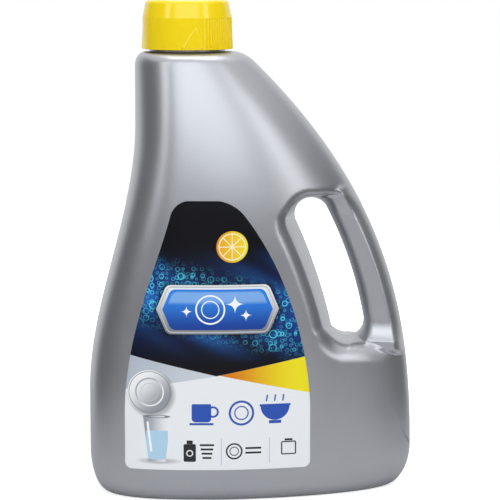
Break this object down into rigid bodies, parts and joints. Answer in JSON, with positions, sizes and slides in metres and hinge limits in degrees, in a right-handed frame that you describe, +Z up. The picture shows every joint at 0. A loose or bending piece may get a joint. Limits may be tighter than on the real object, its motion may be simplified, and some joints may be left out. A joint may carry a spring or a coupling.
{
  "type": "dishwasher powder container",
  "caption": "Blow-moulded powder bottle with a through handle, a ribbed screw cap and a film label on each face; the cap unscrews and lifts.",
  "frame": {"origin": "middle of the base, on the surface that the container stands on", "axes": "+X towards the handle side, +Y towards the back, +Z up"},
  "size_m": [0.182, 0.0906, 0.2751],
  "materials": {
    "bottle": "pearly satin grey polyethylene",
    "cap": "glossy yellow polypropylene",
    "cap_liner": "foamed white liner",
    "front_label": "printed film, satin",
    "back_label": "printed film, satin"
  },
  "bodies": {
    "container": {"bottle": "bottle", "front_label": "front_label", "back_label": "back_label"},
    "seal": {"cap_liner": "cap_liner"},
    "closure": {"cap": "cap"}
  },
  "joints": [
    {"name": "cap_lift", "type": "slide", "parent": "container", "child": "seal", "axis": [0, 0, 1], "range_m": [0, 0.0075]},
    {"name": "cap_turn", "type": "hinge", "parent": "seal", "child": "closure", "pos_m": [-0.0353, 0, 0.26], "axis": [0, 0, 1], "range_deg": [0, 540.1]}
  ],
  "couplings": [
    {"joint": "cap_turn", "follows": "cap_lift", "rad_per_m": 1256.6}
  ]
}
